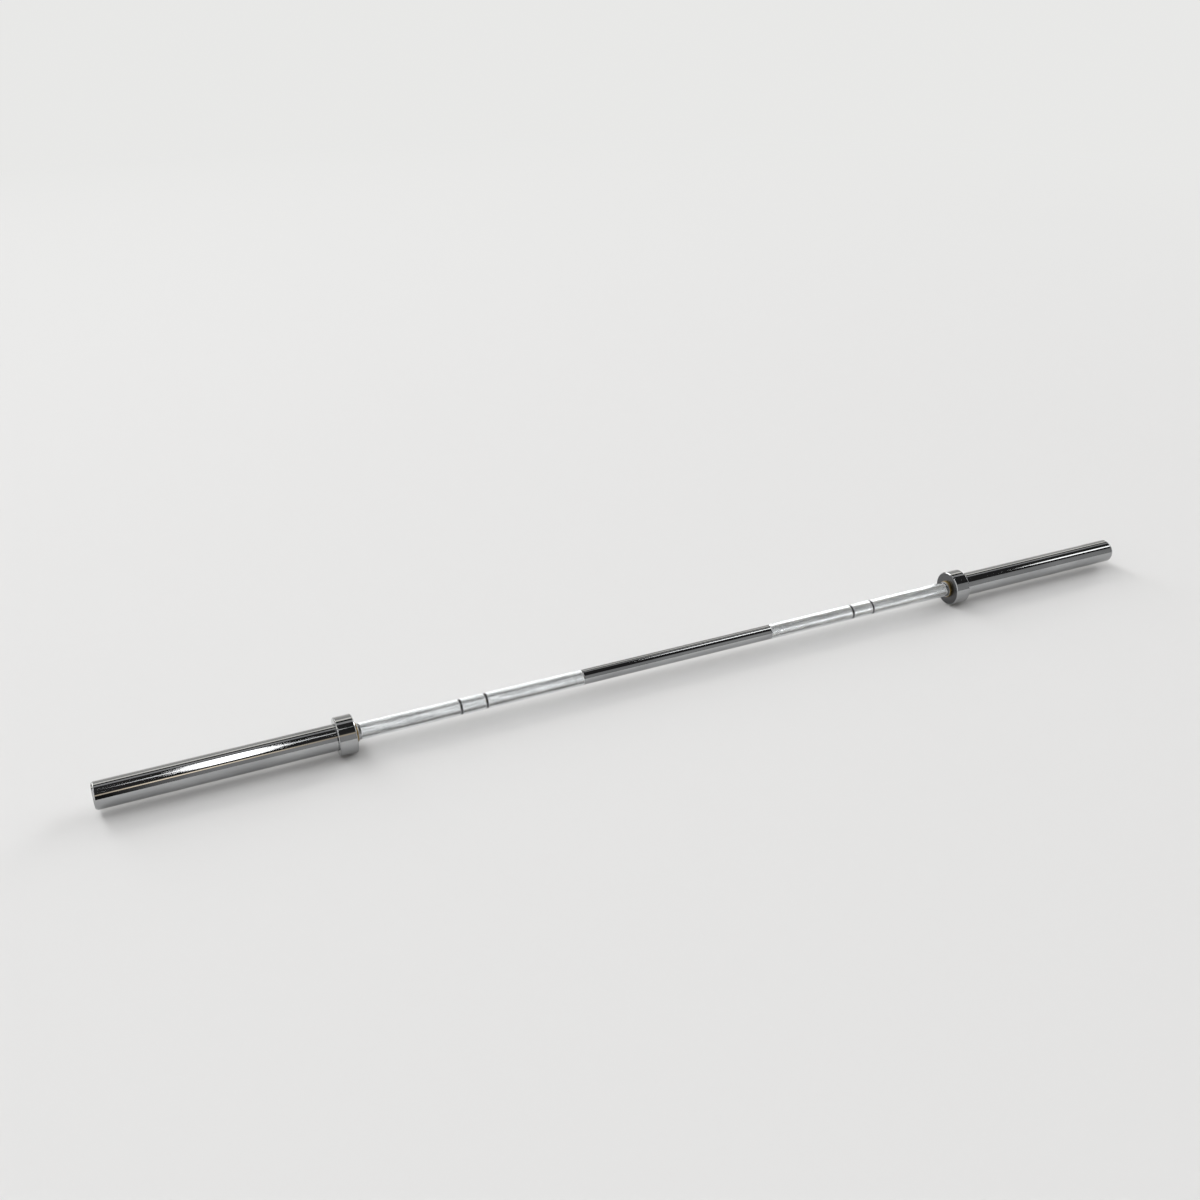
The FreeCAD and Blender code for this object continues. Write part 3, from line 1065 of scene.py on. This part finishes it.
def card(name, angles, colour, strength, ends, radius=CANOPY_RADIUS, fade=None):
    """Curved strip between two angles a and two ends x: points (x, -radius cos a, radius sin a)."""
    angle = np.radians(np.linspace(*angles, CARD_STEPS))
    x, a = np.meshgrid(ends, angle, indexing="ij")
    points = np.stack([x, -radius * np.cos(a), radius * np.sin(a)], axis=-1).reshape(-1, 3)
    near = np.arange(CARD_STEPS - 1)
    far = near + CARD_STEPS
    faces = np.stack([near, far, far + 1, near + 1], axis=-1)
    strip = stage_mesh(name, points, faces.tolist(), glowing(name, colour, strength, fade))
    strip.visible_camera = False
    return strip


print("canopy %.0f m from the bar and %.0f m long" % (CANOPY_RADIUS, 2 * CANOPY_HALF))

# %% [markdown]
# ## Hanging the cards
# Dark cards give the black bands on the chrome, narrow pale ones the bright lines between them and a
# cream one the warm line along the sleeve. The left sleeve mirrors the part of the canopy nearest to
# the camera, and the right sleeve a part far to the right. So the front cards change along the bar:
# near the left end the front is black, under a cream line that brightens and fades again, and further
# on it turns grey.

# %% Front, top and back cards
WHITE = (1.0, 1.0, 1.0)
CREAM = (1.0, 0.86, 0.68)
BEIGE = (1.0, 0.98, 0.92)
LEFT_END, RIGHT_END = -26.0, 26.0
CREAM_PEAK, CREAM_END = -1.4, 7.0
to_left_end = (-CANOPY_HALF, LEFT_END)
from_left_end = (LEFT_END, CANOPY_HALF)
to_cream_peak = (LEFT_END, CREAM_PEAK)
from_cream_peak = (CREAM_PEAK, CREAM_END)
whole_length = (-CANOPY_HALF, CANOPY_HALF)
cards = [
    card("left_end_pale", (0, 118), WHITE, 1.0, to_left_end),
    card("front_low", (0, 31), WHITE, 0.01, (LEFT_END, RIGHT_END), fade=(-2.2, -0.2, 0.38)),
    card("front_cream_left", (31, 39), CREAM, 0.7, to_cream_peak, fade=(-2.6, CREAM_PEAK, 1.7)),
    card("front_cream_right", (31, 39), CREAM, 1.7, from_cream_peak, fade=(-0.3, 2.1, 0.6)),
    card("front_high", (39, 46), WHITE, 0.05, (LEFT_END, CREAM_END)),
    card("front_right", (31, 46), WHITE, 0.36, (CREAM_END, RIGHT_END)),
    card("right_end_dark", (0, 46), WHITE, 0.02, (RIGHT_END, CANOPY_HALF)),
    card("top_dark", (46, 104), WHITE, 0.03, from_left_end),
    card("top_grey", (104, 118), WHITE, 0.45, from_left_end),
    card("back_dark", (118, 131), WHITE, 0.03, whole_length),
    card("back_pale", (131, 143), BEIGE, 1.25, whole_length),
    card("back_grey", (143, 160), WHITE, 0.5, whole_length),
    card("back_low", (160, 180), BEIGE, 0.65, whole_length),
]
print("cards:", [strip.name for strip in cards])

# %% [markdown]
# ## Key panels
# Broad panels give most of the light. They hang beyond the left end and far to the right, where the
# smooth chrome doesn't mirror them towards the camera. So the chrome stays dark with bright lines,
# while the floor and the small slanting faces of the knurl are lit. Each end has three panels that get
# brighter from the top to the back, which throws a soft shadow forwards and leaves the underside of the
# knurl darker.

# %% Hang the key panels
PANEL_RADIUS = 25.0
# angles round the bar and strength
KEY_HEIGHTS = {
    "top": ((46, 80), 1.2),
    "middle": ((80, 125), 3.0),
    "back": ((125, 172), 4.5),
}
# ends along the bar and share of the strength
KEY_ENDS = {
    "left": ((-14.4, -4.3), 1.0),
    "right": ((29.0, 59.0), 1.35),
}
panels = [
    card(f"key_{end}_{height}", angles, WHITE, strength * share, ends, PANEL_RADIUS)
    for end, (ends, share) in KEY_ENDS.items()
    for height, (angles, strength) in KEY_HEIGHTS.items()
]
print("key panels:", [panel.name for panel in panels])

# %% [markdown]
# ## Lamps for the highlights
# The white flash on the left sleeve and the thin lines on the middle and the right sleeve come from
# small far lamps. A lamp could be placed by X, Y and Z, but the share of its direction that runs along
# the bar and its angle round the bar are handier: those two say where on a polished cylinder its
# highlight falls.

# %% Place the lamps
LAMP_DISTANCE = 24.0


def lamp(name, along, angle, width, height, radiance):
    """Far oval lamp in the unit direction (along, -across cos angle, across sin angle).

    width and height are the angles in degrees that it fills along and round the bar. radiance is how
    bright its surface looks.
    """
    light = bpy.data.lights.new(name, "AREA")
    light.shape = "ELLIPSE"
    light.size = 2 * LAMP_DISTANCE * math.tan(math.radians(width / 2))
    light.size_y = 2 * LAMP_DISTANCE * math.tan(math.radians(height / 2))
    light.energy = radiance * math.pi * (math.pi / 4 * light.size * light.size_y)
    across = math.sqrt(1 - along * along)
    turn = math.radians(angle)
    outwards = Vector((along, -across * math.cos(turn), across * math.sin(turn)))
    x_axis = (Vector((1, 0, 0)) - outwards * along).normalized()
    thing = bpy.data.objects.new(name, light)
    thing.location = outwards * LAMP_DISTANCE
    thing.rotation_euler = Matrix((x_axis, outwards.cross(x_axis), outwards)).transposed().to_euler()
    thing.visible_camera = False
    bpy.context.scene.collection.objects.link(thing)
    return thing


lamps = [
    lamp("sleeve_flash", 0.005, 74, 4.4, 54, 5.0),
    lamp("sleeve_tails", 0.008, 73, 11, 9, 1.3),
    lamp("middle_line", 0.46, 87, 12, 6, 4.5),
    lamp("right_line", 0.69, 69, 6, 8, 3.0),
]
print("lamps:", [thing.name for thing in lamps])

# %% [markdown]
# ## World
# Past the ends of the canopy and beyond the floor's edge there is only the world. It has the backdrop's
# tone, so that low views have no horizon either.

# %% Set the world
world = bpy.data.worlds.new("studio")
bpy.context.scene.world = world
world.use_nodes = True
background = world.node_tree.nodes["Background"]
background.inputs["Color"].default_value = (*BACKDROP, 1)
background.inputs["Strength"].default_value = 1
print("world tone:", BACKDROP)

# %% [markdown]
# ## Camera
# The photograph looks down at the bar from its left front, and the horizon is level. The camera's
# place, aim and focal length were fitted to where the ends, collars and ring marks fall in the picture.

# %% Set the camera
CAMERA_PLACE = Vector((-0.9657, -1.8161, 1.3194))
CAMERA_AIM = Vector((-0.0576, 0.2564, 0.0011))
FOCAL_PIXELS = 1222.8
IMAGE_PIXELS = 1200
SENSOR_WIDTH = 36.0
camera_data = bpy.data.cameras.new("camera")
camera_data.sensor_width = SENSOR_WIDTH
camera_data.lens = SENSOR_WIDTH * FOCAL_PIXELS / IMAGE_PIXELS
camera = bpy.data.objects.new("camera", camera_data)
camera.location = CAMERA_PLACE
camera.rotation_euler = (CAMERA_AIM - CAMERA_PLACE).to_track_quat("-Z", "Y").to_euler()
bpy.context.scene.collection.objects.link(camera)
bpy.context.scene.camera = camera
bpy.context.scene.view_settings.view_transform = "Standard"
print("camera %.2f m from the bar's middle, lens %.1f mm" % (CAMERA_PLACE.length, camera_data.lens))
